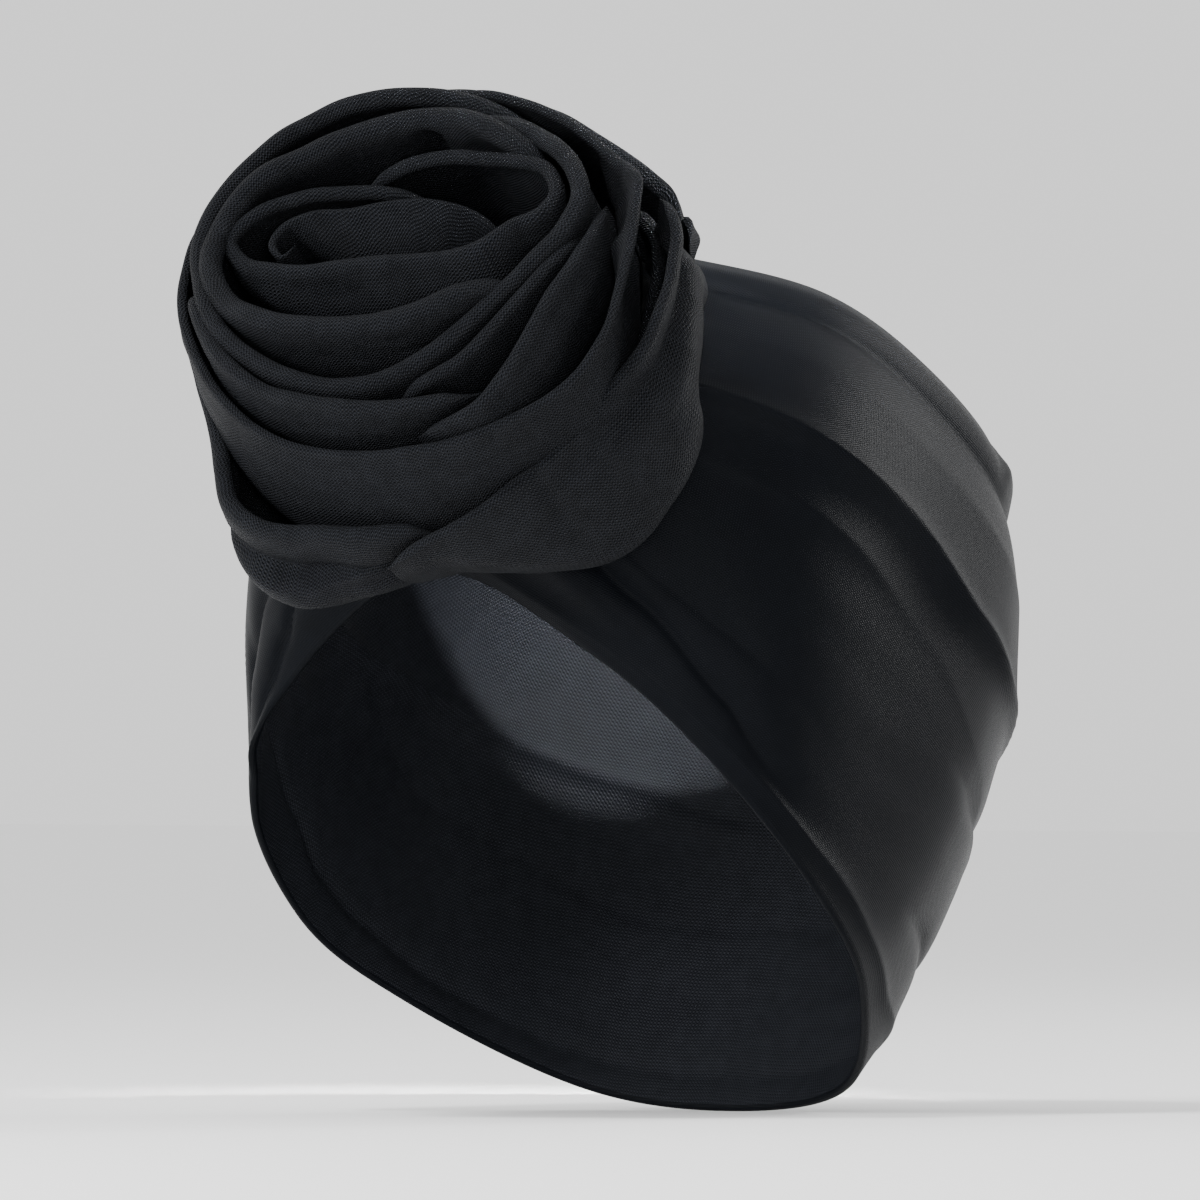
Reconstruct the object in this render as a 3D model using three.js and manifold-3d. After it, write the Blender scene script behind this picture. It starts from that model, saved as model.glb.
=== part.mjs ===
// Turban headwrap: a wide cloth band with a large wound rosette on its front.
// Millimetres, +Z up as worn, -Y is the wearer's front, +X the wearer's left.
// The origin is the middle of the head that the band goes round.
import * as THREE from 'three';
import { mergeVertices } from 'three/addons/utils/BufferGeometryUtils.js';
import Module from 'manifold-3d';

const wasm = await Module();
wasm.setup();

// Driving dimensions
const CLOTH = 2.0;            // doubled jersey, as one wall
const GAP = 0.3;              // clearance between pieces that touch
const BAND_STEPS = 72;        // facets round the head
const BAND_ROWS = 15;         // facets from the face edge to the crown edge
const COIL_STEP = 10;         // degrees of turn to each facet of a wrap
const COIL_ROWS = 6;          // facets from a wrap's foot to its lip

// Sections through the band, from the front (turn 0) over the wearer's left
// side to the nape (turn 180). The right side mirrors them.
// face: the edge round the face and nape, crown: the edge round the open crown.
const BAND_SECTIONS = [
  { turn: 0, face: [0, -70, 18], low: [0, -75, 45], high: [0, -62, 74], crown: [0, -33, 98] },
  { turn: 30, face: [38, -65, 1], low: [45, -70, 30], high: [45, -57, 63], crown: [35, -27, 89] },
  { turn: 60, face: [69, -51, -29], low: [75, -42, 6], high: [74, -26, 48], crown: [54, 3, 80] },
  { turn: 90, face: [77, -22, -60], low: [80, -6, -22], high: [79, 12, 24], crown: [60, 33, 64] },
  { turn: 120, face: [66, 4, -80], low: [74, 26, -42], high: [75, 44, 2], crown: [60, 59, 45] },
  { turn: 150, face: [38, 34, -100], low: [47, 59, -57], high: [46, 79, -12], crown: [36, 85, 32] },
  { turn: 180, face: [0, 41, -105], low: [0, 70, -62], high: [0, 92, -18], crown: [0, 95, 28] },
];

// Lengthwise folds of the band. The columns give the fold's place between the
// face edge (0) and the crown edge (1) at five turns on each side of the head.
const FOLDS = [
  { height: 2.2, width: 0.050, left: [0.06, 0.05, 0.05, 0.05, 0.05], right: [0.06, 0.05, 0.05, 0.05, 0.05] },
  { height: -2.4, width: 0.050, left: [0.20, 0.14, 0.13, 0.16, 0.20], right: [0.24, 0.16, 0.14, 0.17, 0.20] },
  { height: 2.0, width: 0.070, left: [0.34, 0.28, 0.25, 0.26, 0.30], right: [0.33, 0.28, 0.26, 0.27, 0.30] },
  { height: -2.0, width: 0.050, left: [0.44, 0.42, 0.38, 0.37, 0.40], right: [0.42, 0.38, 0.38, 0.37, 0.40] },
  { height: 2.2, width: 0.075, left: [0.60, 0.60, 0.59, 0.60, 0.60], right: [0.50, 0.50, 0.50, 0.54, 0.60] },
  { height: -1.4, width: 0.060, left: [0.76, 0.77, 0.76, 0.74, 0.74], right: [0.70, 0.70, 0.68, 0.70, 0.74] },
  { height: 1.8, width: 0.050, left: [0.90, 0.92, 0.92, 0.92, 0.92], right: [0.88, 0.90, 0.92, 0.92, 0.92] },
];
const FOLD_TURNS = [20, 55, 95, 135, 180];

// The rosette's own frame: its middle, its axis out of the middle, and the
// axes to its right and to its top.
const ROSE_MIDDLE = new THREE.Vector3(5, -70, 68);
const ROSE_AXIS = new THREE.Vector3(0.20, -0.82, 0.536).normalize();
const ROSE_TOP = new THREE.Vector3(0, 0, 1).addScaledVector(ROSE_AXIS, -ROSE_AXIS.z).normalize();
const ROSE_RIGHT = new THREE.Vector3().crossVectors(ROSE_TOP, ROSE_AXIS);

// Wraps of the rosette, from its eye outwards. Every wrap winds from start to
// end degrees, and grows by drift millimetres a turn, so its end lies outside
// its start. lip: radius of the fold's lip towards evenly spaced directions,
// from the rosette's right (0 degrees) over its top (90) and left (180).
// lean: how far the wall spreads under the lip towards the same directions.
// height: the lip's height over the rosette's middle. belly: the height where
// the wall is widest. foot: the foot's radius as a share of the widest one.
// dip: how far the lip sinks at the start and at the end. taper: over how
// many degrees it does so there.
const WRAPS = [
  {
    name: 'eye_fold', start: 170, end: 560, drift: 3.2, thickness: 2.0,
    lip: [27, 15, 9, 12, 22, 12, 7, 12],
    lean: [2, 2, 2, 2, 2, 2, 2, 2],
    height: 43, belly: 20, foot: 0.70, dip: [4, 12], taper: [45, 45],
  },
  {
    name: 'inner_wrap', start: 20, end: 395, drift: 4, thickness: 2.2,
    lip: [36, 27, 21, 24, 33, 25, 20, 24],
    lean: [3, 3, 3, 3, 3, 3, 3, 3],
    height: 47, belly: 22, foot: 0.66, dip: [14, 14], taper: [45, 45],
  },
  {
    name: 'middle_wrap', start: 300, end: 680, drift: 4, thickness: 2.2,
    lip: [44, 36, 31, 32, 38, 33, 33, 36],
    lean: [3, 3, 4, 4, 4, 4, 5, 5],
    height: 44, belly: 18, foot: 0.52, dip: [14, 14], taper: [45, 45],
  },
  {
    name: 'outer_wrap', start: 60, end: 388, drift: 3, thickness: 2.4,
    lip: [52, 46, 43, 42, 44.5, 43, 46, 51],
    lean: [5, 4, 4, 5, 5, 7, 8, 6],
    height: 38, belly: 14, foot: 0.42, dip: [16, 26], taper: [50, 50],
  },
  {
    name: 'left_ruffle', start: 16, end: 288, drift: 0, thickness: 2.4,
    lip: [57, 56, 52.5, 50.5, 50.5, 51.5, 52.5, 54, 58, 59, 61, 62],
    lean: [2, 2, 2, 2, 2, 2, 2.5, 6, 10, 4, 2, 2],
    height: 27, belly: 7, foot: 0.36, dip: [42, 14], taper: [55, 60],
  },
  {
    name: 'right_ruffle', start: 261, end: 440, drift: 0, thickness: 2.4,
    lip: [62.5, 60, 56, 55, 60, 62, 64, 65, 66, 64, 64, 63],
    lean: [2.5, 2, 2, 2, 3, 3, 3, 3, 3, 3.5, 6, 6],
    height: 26, belly: 5, foot: 0.40, dip: [36, 44], taper: [38, 80],
  },
];
const FOOT_DEPTH = -36;       // where the walls end before the band trims them

const RADIANS = Math.PI / 180;
const clamp01 = (value) => Math.min(1, Math.max(0, value));
const smooth = (value) => clamp01(value) ** 2 * (3 - 2 * clamp01(value));
const bell = (value) => Math.exp(-value * value);

// A value between the entries of a table that goes evenly once round
function cyclic(values, angle) {
  const count = values.length;
  const place = (angle * count) / 360;
  const base = Math.floor(place);
  const part = place - base;
  const [a, b, c, d] = [-1, 0, 1, 2].map((step) => values[(((base + step) % count) + count) % count]);
  const slopeIn = (c - a) / 2;
  const slopeOut = (d - b) / 2;
  const cube = part * part * part;
  const square = part * part;
  return (2 * cube - 3 * square + 1) * b + (cube - 2 * square + part) * slopeIn
    + (3 * square - 2 * cube) * c + (cube - square) * slopeOut;
}

// A value between the rows of an open table of places
function between(places, values, place) {
  let row = 0;
  while (row < places.length - 2 && place > places[row + 1]) row += 1;
  const part = smooth((place - places[row]) / (places[row + 1] - places[row]));
  return values[row] + (values[row + 1] - values[row]) * part;
}

// One closed mesh from a grid of outer points and a grid of inner points.
// round joins the last column to the first one.
function wall(outer, inner, round) {
  const columns = outer.length;
  const rows = outer[0].length;
  const positions = [...outer, ...inner].flat().flatMap((point) => point.toArray());
  const at = (side, column, row) => (side * columns + (column % columns)) * rows + row;
  const faces = [];
  const quad = (a, b, c, d) => faces.push(a, b, c, a, c, d);
  const spans = round ? columns : columns - 1;
  for (let column = 0; column < spans; column += 1) {
    for (let row = 0; row < rows - 1; row += 1) {
      quad(at(0, column, row), at(0, column + 1, row), at(0, column + 1, row + 1), at(0, column, row + 1));
      quad(at(1, column, row), at(1, column, row + 1), at(1, column + 1, row + 1), at(1, column + 1, row));
    }
    quad(at(1, column, 0), at(1, column + 1, 0), at(0, column + 1, 0), at(0, column, 0));
    const last = rows - 1;
    quad(at(0, column, last), at(0, column + 1, last), at(1, column + 1, last), at(1, column, last));
  }
  if (!round) {
    for (let row = 0; row < rows - 1; row += 1) {
      const end = columns - 1;
      quad(at(0, 0, row), at(0, 0, row + 1), at(1, 0, row + 1), at(1, 0, row));
      quad(at(0, end, row), at(1, end, row), at(1, end, row + 1), at(0, end, row + 1));
    }
  }
  const geometry = new THREE.BufferGeometry();
  geometry.setAttribute('position', new THREE.Float32BufferAttribute(positions, 3));
  geometry.setIndex(faces);
  return geometry;
}

// The band's four lengthwise curves, closed round the head
const bandCurves = ['face', 'low', 'high', 'crown'].map((key) => {
  const left = BAND_SECTIONS.map((section) => new THREE.Vector3(...section[key]));
  const right = left.slice(1, -1).reverse().map((point) => new THREE.Vector3(-point.x, point.y, point.z));
  return new THREE.CatmullRomCurve3([...left, ...right], true);
});

// A point of the smooth band: turn in degrees, across from 0 (face) to 1 (crown)
function smoothBand(turn, across) {
  const share = (((turn % 360) + 360) % 360) / 360;
  const t = across * 3;
  const weights = [
    -(t - 1) * (t - 2) * (t - 3) / 6,
    t * (t - 2) * (t - 3) / 2,
    -t * (t - 1) * (t - 3) / 2,
    t * (t - 1) * (t - 2) / 6,
  ];
  const point = new THREE.Vector3();
  bandCurves.forEach((curve, row) => point.addScaledVector(curve.getPoint(share), weights[row]));
  return point;
}

function bandNormal(turn, across) {
  const along = smoothBand(turn + 1, across).sub(smoothBand(turn - 1, across));
  const up = smoothBand(turn, across + 0.01).sub(smoothBand(turn, across - 0.01));
  return along.cross(up).normalize();
}

function foldRelief(turn, across) {
  const side = turn <= 180 ? 'left' : 'right';
  const fromFront = turn <= 180 ? turn : 360 - turn;
  let relief = 0;
  for (const fold of FOLDS) {
    const place = between(FOLD_TURNS, fold[side], fromFront);
    relief += fold.height * bell((across - place) / fold.width);
  }
  return relief * smooth((fromFront - 5) / 30);
}

function bandPoint(turn, across, inset) {
  const point = smoothBand(turn, across);
  return point.addScaledVector(bandNormal(turn, across), foldRelief(turn, across) - inset);
}

function bandGrid(inset) {
  const grid = [];
  for (let step = 0; step < BAND_STEPS; step += 1) {
    const column = [];
    for (let row = 0; row <= BAND_ROWS; row += 1) {
      column.push(bandPoint((step * 360) / BAND_STEPS, row / BAND_ROWS, inset));
    }
    grid.push(column);
  }
  return grid;
}

// The closed form that fills the band, to trim what rests on its outside
function bandFilling() {
  const grid = bandGrid(-GAP);
  const rows = BAND_ROWS + 1;
  const positions = grid.flat().flatMap((point) => point.toArray());
  const faces = [];
  const at = (column, row) => (column % BAND_STEPS) * rows + row;
  const middles = [0, BAND_ROWS].map((row) => {
    const middle = new THREE.Vector3();
    grid.forEach((column) => middle.addScaledVector(column[row], 1 / BAND_STEPS));
    positions.push(...middle.toArray());
    return positions.length / 3 - 1;
  });
  for (let column = 0; column < BAND_STEPS; column += 1) {
    for (let row = 0; row < BAND_ROWS; row += 1) {
      faces.push(at(column, row), at(column + 1, row), at(column + 1, row + 1));
      faces.push(at(column, row), at(column + 1, row + 1), at(column, row + 1));
    }
    faces.push(at(column + 1, 0), at(column, 0), middles[0]);
    faces.push(at(column, BAND_ROWS), at(column + 1, BAND_ROWS), middles[1]);
  }
  const geometry = new THREE.BufferGeometry();
  geometry.setAttribute('position', new THREE.Float32BufferAttribute(positions, 3));
  geometry.setIndex(faces);
  return geometry;
}

function toSolid(geometry) {
  const merged = mergeVertices(geometry, 1e-4);
  return new wasm.Manifold(new wasm.Mesh({
    numProp: 3,
    vertProperties: new Float32Array(merged.attributes.position.array),
    triVerts: new Uint32Array(merged.index.array),
  }));
}

function toGeometry(solid) {
  const mesh = solid.getMesh();
  const geometry = new THREE.BufferGeometry();
  geometry.setAttribute('position', new THREE.BufferAttribute(new Float32Array(mesh.vertProperties), 3));
  geometry.setIndex([...mesh.triVerts]);
  return geometry;
}

// A point in the rosette's frame: degrees round the axis, radius and height
function rosePoint(angle, radius, height) {
  return ROSE_MIDDLE.clone()
    .addScaledVector(ROSE_RIGHT, radius * Math.cos(angle * RADIANS))
    .addScaledVector(ROSE_TOP, radius * Math.sin(angle * RADIANS))
    .addScaledVector(ROSE_AXIS, height);
}

// Height of a wrap's lip, which sinks towards both of its ends
function lipHeight(wrap, angle) {
  const [startDip, endDip] = wrap.dip;
  const fromStart = smooth((angle - wrap.start) / wrap.taper[0]);
  const fromEnd = smooth((wrap.end - angle) / wrap.taper[1]);
  return wrap.height - startDip * (1 - fromStart) - endDip * (1 - fromEnd);
}

// Radius and height of a wrap's outer face: rise 0 is its foot, rise 1 its lip
function wrapProfile(wrap, angle, rise) {
  const growth = (wrap.drift * (angle - wrap.start)) / 360;
  const lip = cyclic(wrap.lip, angle) + growth;
  const lean = cyclic(wrap.lean, angle);
  const height = FOOT_DEPTH + (lipHeight(wrap, angle) - FOOT_DEPTH) * rise;
  if (height > wrap.belly) {
    const below = (wrap.height - height) / (wrap.height - wrap.belly);
    return [lip + lean * Math.sin((below * Math.PI) / 2), height];
  }
  const under = (wrap.belly - height) / (wrap.belly - FOOT_DEPTH);
  return [(lip + lean) * (1 - (1 - wrap.foot) * under * under), height];
}

// The same on the inner face, one thickness inside the outer one
function wrapInside(wrap, angle, rise) {
  const [radius, height] = wrapProfile(wrap, angle, rise);
  const [lower, lowerHeight] = wrapProfile(wrap, angle, rise - 0.01);
  const [upper, upperHeight] = wrapProfile(wrap, angle, rise + 0.01);
  const length = Math.hypot(upper - lower, upperHeight - lowerHeight);
  const inward = (wrap.thickness * (upperHeight - lowerHeight)) / length;
  const upward = (wrap.thickness * (upper - lower)) / length;
  return [radius - inward, height + upward];
}

function wrapSheet(wrap) {
  const steps = Math.round((wrap.end - wrap.start) / COIL_STEP);
  const grid = (profile) => {
    const columns = [];
    for (let step = 0; step <= steps; step += 1) {
      const angle = wrap.start + ((wrap.end - wrap.start) * step) / steps;
      const column = [];
      for (let row = 0; row <= COIL_ROWS; row += 1) {
        column.push(rosePoint(angle, ...profile(wrap, angle, row / COIL_ROWS)));
      }
      columns.push(column);
    }
    return columns;
  };
  return wall(grid(wrapProfile), grid(wrapInside), false);
}

const cloth = (color) => new THREE.MeshStandardMaterial({ color, roughness: 0.8, metalness: 0 });

const turban = new THREE.Group();

function add(name, geometry, color) {
  const mesh = new THREE.Mesh(geometry, cloth(color));
  mesh.name = name;
  turban.add(mesh);
}

add('head_band', wall(bandGrid(0), bandGrid(CLOTH), true), 0x1d1f23);

const filling = toSolid(bandFilling());
for (const wrap of WRAPS) {
  const trimmed = toSolid(wrapSheet(wrap)).subtract(filling);
  add(wrap.name, toGeometry(trimmed), 0x202226);
}

export default turban;
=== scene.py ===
"""Turban headwrap: a wide stretch-cloth band with a large wound rosette on its front.

Metres, +Z up as worn, -Y is the wearer's front and +X the wearer's left.
Tables are in millimetres and are scaled by MM.
"""

import math

import bpy
import numpy as np
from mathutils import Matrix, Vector
from mathutils.bvhtree import BVHTree


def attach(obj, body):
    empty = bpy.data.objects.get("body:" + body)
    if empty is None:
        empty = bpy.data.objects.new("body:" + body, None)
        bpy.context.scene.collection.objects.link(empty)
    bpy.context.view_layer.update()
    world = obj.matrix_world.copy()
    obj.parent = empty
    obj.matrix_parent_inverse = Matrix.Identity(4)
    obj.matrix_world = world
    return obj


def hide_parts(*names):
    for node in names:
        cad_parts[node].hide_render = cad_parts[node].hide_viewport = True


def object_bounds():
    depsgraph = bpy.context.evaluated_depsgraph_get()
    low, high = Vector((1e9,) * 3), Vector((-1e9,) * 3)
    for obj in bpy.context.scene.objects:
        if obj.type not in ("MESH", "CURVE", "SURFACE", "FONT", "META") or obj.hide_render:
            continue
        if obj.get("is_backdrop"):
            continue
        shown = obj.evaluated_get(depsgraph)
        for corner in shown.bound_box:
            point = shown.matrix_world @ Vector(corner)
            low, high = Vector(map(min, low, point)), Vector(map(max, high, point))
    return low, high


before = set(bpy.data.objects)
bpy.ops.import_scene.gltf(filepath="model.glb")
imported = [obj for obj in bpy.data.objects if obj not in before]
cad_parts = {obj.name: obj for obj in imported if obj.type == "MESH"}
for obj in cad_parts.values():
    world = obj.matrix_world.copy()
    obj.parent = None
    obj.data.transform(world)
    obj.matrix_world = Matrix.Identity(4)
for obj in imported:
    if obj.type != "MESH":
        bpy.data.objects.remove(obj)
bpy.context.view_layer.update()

MM = 0.001

# Camera: eye level, from the wearer's left front, with a long lens
VIEW_AZIMUTH = math.radians(37)
VIEW_DISTANCE = 6.0
VIEW_WIDTH = 0.2727           # width of the frame at the headwrap
VIEW_RIGHT = -0.00545         # the picture's middle, right of the origin
VIEW_UP = 0.01136             # and above it
SENSOR = 36.0
CLIP_END = 50

# Studio: place, aim, size, power and spread of each light
LIGHTS = {
    "key": ((-0.6, -1.8, 0.5), (0, 0, 0), 0.5, 38, 180),
    "fill": ((1.3, -1.6, 0.05), (0, 0, 0), 0.5, 17, 180),
    "top": ((0.0, -1.1, 1.6), (0, 0, 0), 0.3, 24, 180),
    "rim": ((0.5, 1.8, 0.6), (0, 0, 0), 0.6, 16, 180),
    # falls through the open crown on the inside of the far wall
    "crown": ((0.615, -0.520, 0.850), (-0.045, 0.060, 0.030), 0.05, 0.22, 9),
}
SKY_STRENGTH = 1.2
FLOOR_REACH = 6.0
FLOOR_COLOR = (0.95, 0.95, 0.95, 1)
FLOOR_ROUGHNESS = 0.9

# Band
CLOTH = 2.0                   # doubled jersey
BAND_COLUMNS = 360
BAND_ROWS = 124
RIM_ROUNDING = 4              # points that round each rim
BAND_GIRTH = 0.55             # metres of cloth once round, for the weave
BAND_SECTIONS = [
    # turn, face edge, lower curve, upper curve, crown edge
    (0, (0, -70, 18), (0, -75, 45), (0, -62, 74), (0, -33, 98)),
    (30, (38, -65, 1), (45, -70, 30), (45, -57, 63), (35, -27, 89)),
    (60, (69, -51, -29), (75, -42, 6), (74, -26, 48), (54, 3, 80)),
    (90, (77, -22, -60), (80, -6, -22), (79, 12, 24), (60, 33, 64)),
    (120, (66, 4, -80), (74, 26, -42), (75, 44, 2), (60, 59, 45)),
    (150, (38, 34, -100), (47, 59, -57), (46, 79, -12), (36, 85, 32)),
    (180, (0, 41, -105), (0, 70, -62), (0, 92, -18), (0, 95, 28)),
]
BAND_FOLDS = [
    # sharpness, width towards the face, width towards the crown, then turn, place and height
    (0.8, 0.025, 0.03, [(0, 0.955, 0.4), (40, 0.965, 1.3), (90, 0.96, 1.5), (180, 0.955, 1.2),
                        (270, 0.96, 1.5), (320, 0.965, 1.2), (360, 0.955, 0.4)]),
    (0.2, 0.02, 0.012, [(0, 0.88, -0.4), (40, 0.915, -1.2), (90, 0.91, -1.4), (180, 0.91, -1.0),
                        (270, 0.91, -1.3), (320, 0.915, -1.2), (360, 0.88, -0.4)]),
    (0.08, 0.022, 0.15, [(0, 0.70, 0.8), (25, 0.68, 1.8), (40, 0.66, 2.2), (80, 0.65, 2.6),
                         (105, 0.62, 2.6), (128, 0.60, 2.2), (160, 0.53, 0.3), (190, 0.48, -2.0),
                         (216, 0.51, -2.6), (245, 0.53, -2.6), (273, 0.49, -2.2), (298, 0.50, 0),
                         (320, 0.50, 1.4), (360, 0.70, 0.8)]),
    (0.1, 0.016, 0.04, [(0, 0.60, 0.4), (30, 0.56, 0.8), (45, 0.54, 0.9), (70, 0.54, 0.9),
                        (92, 0.52, 0.3), (120, 0.46, 0.2), (160, 0.32, 0.8), (200, 0.30, 0.9),
                        (240, 0.36, 0.5), (290, 0.60, 0.3), (360, 0.60, 0.4)]),
    (0.2, 0.018, 0.04, [(0, 0.35, -1.2), (20, 0.28, -2.0), (38, 0.20, -2.2), (54, 0.14, -2.0),
                        (63, 0.10, -1.4), (75, 0.07, -0.4), (90, 0.05, 0), (290, 0.00, 0),
                        (304, 0.08, -2.0), (311, 0.17, -2.4), (321, 0.23, -2.4), (335, 0.30, -1.8),
                        (360, 0.35, -1.2)]),
    (0.15, 0.015, 0.02, [(0, 0.26, 0), (280, -0.03, 0), (309, 0.01, -0.8), (316, 0.05, -1.6),
                         (324, 0.085, -1.8), (331, 0.14, -1.8), (345, 0.22, -1.0), (360, 0.26, 0)]),
    (0.3, 0.02, 0.03, [(0, 0, 0), (300, 0, 0), (308, 0, 1.6), (314, 0, 1.6), (322, 0, 0), (360, 0, 0)]),
    (0.2, 0.02, 0.04, [(0, 0.50, -0.8), (25, 0.34, -1.7), (43, 0.27, -1.7), (51, 0.26, -1.3),
                       (65, 0.25, -0.3), (80, 0.24, 0), (272, 0.34, 0), (290, 0.36, -2.0),
                       (310, 0.42, -2.0), (335, 0.49, -1.7), (360, 0.50, -0.8)]),
    (0.2, 0.014, 0.02, [(0, 0.04, 0.6), (55, 0.05, 0.6), (70, 0.055, 0.9), (88, 0.06, 1.0),
                        (103, 0.05, 1.0), (123, 0.05, 1.0), (143, 0.08, 1.0), (170, 0.05, 0.8),
                        (214, 0.05, 0.8), (234, 0.06, 1.4), (254, 0.09, 1.7), (267, 0.11, 1.7),
                        (279, 0.16, 1.6), (290, 0.22, 1.2), (310, 0.30, 0), (360, 0.04, 0)]),
    (0.15, 0.02, 0.03, [(0, 0.41, 0), (105, 0.41, 0), (130, 0.41, -1.6), (150, 0.42, -1.2),
                        (185, 0.46, 0), (360, 0.41, 0)]),
    (0.15, 0.02, 0.02, [(0, 0.18, 0), (110, 0.16, 0), (132, 0.19, -1.5), (150, 0.18, -1.2),
                        (185, 0.14, 0), (360, 0.18, 0)]),
    (0.3, 0.014, 0.016, [(0, 0.70, 0.8), (25, 0.68, 1.5), (40, 0.66, 1.5), (80, 0.65, 1.4),
                         (105, 0.62, 1.2), (128, 0.60, 0.8), (160, 0.53, 0), (190, 0.48, -1.2),
                         (216, 0.51, -1.4), (245, 0.53, -1.4), (273, 0.49, -1.2), (298, 0.50, 0),
                         (320, 0.50, 0.6), (360, 0.70, 0.8)]),
    (0.3, 0.02, 0.03, [(0, 0.97, 0), (116, 0.97, 0), (122, 0.97, 1.8), (130, 0.97, 1.8),
                       (137, 0.97, 0), (360, 0.97, 0)]),
    (0.3, 0.03, 0.03, [(0, 0.82, 0), (60, 0.80, 0.3), (100, 0.79, 0.6), (150, 0.76, 0.5),
                       (200, 0.72, 0.7), (250, 0.76, 0.6), (300, 0.82, 0), (360, 0.82, 0)]),
]
FOLD_START = 3                # degrees from the middle of the front where the folds begin
FOLD_RISE = 16                # and over which they reach their height
GATHERS = (0.6, 6.5, 24, 16)  # height, number across, their middle's turn, its spread
RIPPLES = (0.05, 9, 2.2)      # height, number across, and how much they wander
FILLING_COLUMNS = 120         # the coarser form of the band that the wraps' feet meet
FILLING_ROWS = 30

# Rosette: its middle, its axis, and the axes to its right and its top
ROSE_MIDDLE = np.array((5.0, -70.0, 68.0))
ROSE_AXIS = np.array((0.20, -0.82, 0.536))
ROSE_AXIS /= np.linalg.norm(ROSE_AXIS)
ROSE_TOP = np.array((0.0, 0.0, 1.0)) - ROSE_AXIS[2] * ROSE_AXIS
ROSE_TOP /= np.linalg.norm(ROSE_TOP)
ROSE_RIGHT = np.cross(ROSE_TOP, ROSE_AXIS)
FOOT_HEIGHT = -36.0           # where a wall ends if the band doesn't stop it
BAND_CLEARANCE = 0.4
PROBES = 40                   # steps down a wall that look for the band
FIRST_PROBE = 8
WALL_STEP = 1.0               # distance between the columns of a wrap
WALL_ROWS = 64                # steps down each face of a wrap
LIP_CROWDING = 1.8            # above 1 the rows are closer towards the lip
LIP_ROUNDING = 7              # points that round a lip
ROUNDING = 1.5                # 1 for a straight slope below the lip, 2 for a round one
ROLL_REACH = 1.6              # how far down a lip's roll reaches, in rolls
END_TAPER = 9                 # length over which a wall thins to its ends
END_SHARE = 0.15              # and the share of its thickness left there
CREASE_START = 4              # depth over which creases grow below the lip
DENT_SHARPNESS = 0.4

# Random waves of the rosette: height, longest wave and number of waves
LIP_WAVES = (0.5, 50.0, 4)
DRIFT_WAVES = (0.35, 110.0, 4)
SLANT_WAVES = (0.30, 60.0, 3)
FADE_WAVES = (0.4, 75.0, 3)
SMALL_WAVES = (0.5, 45.0, 3)

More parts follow.
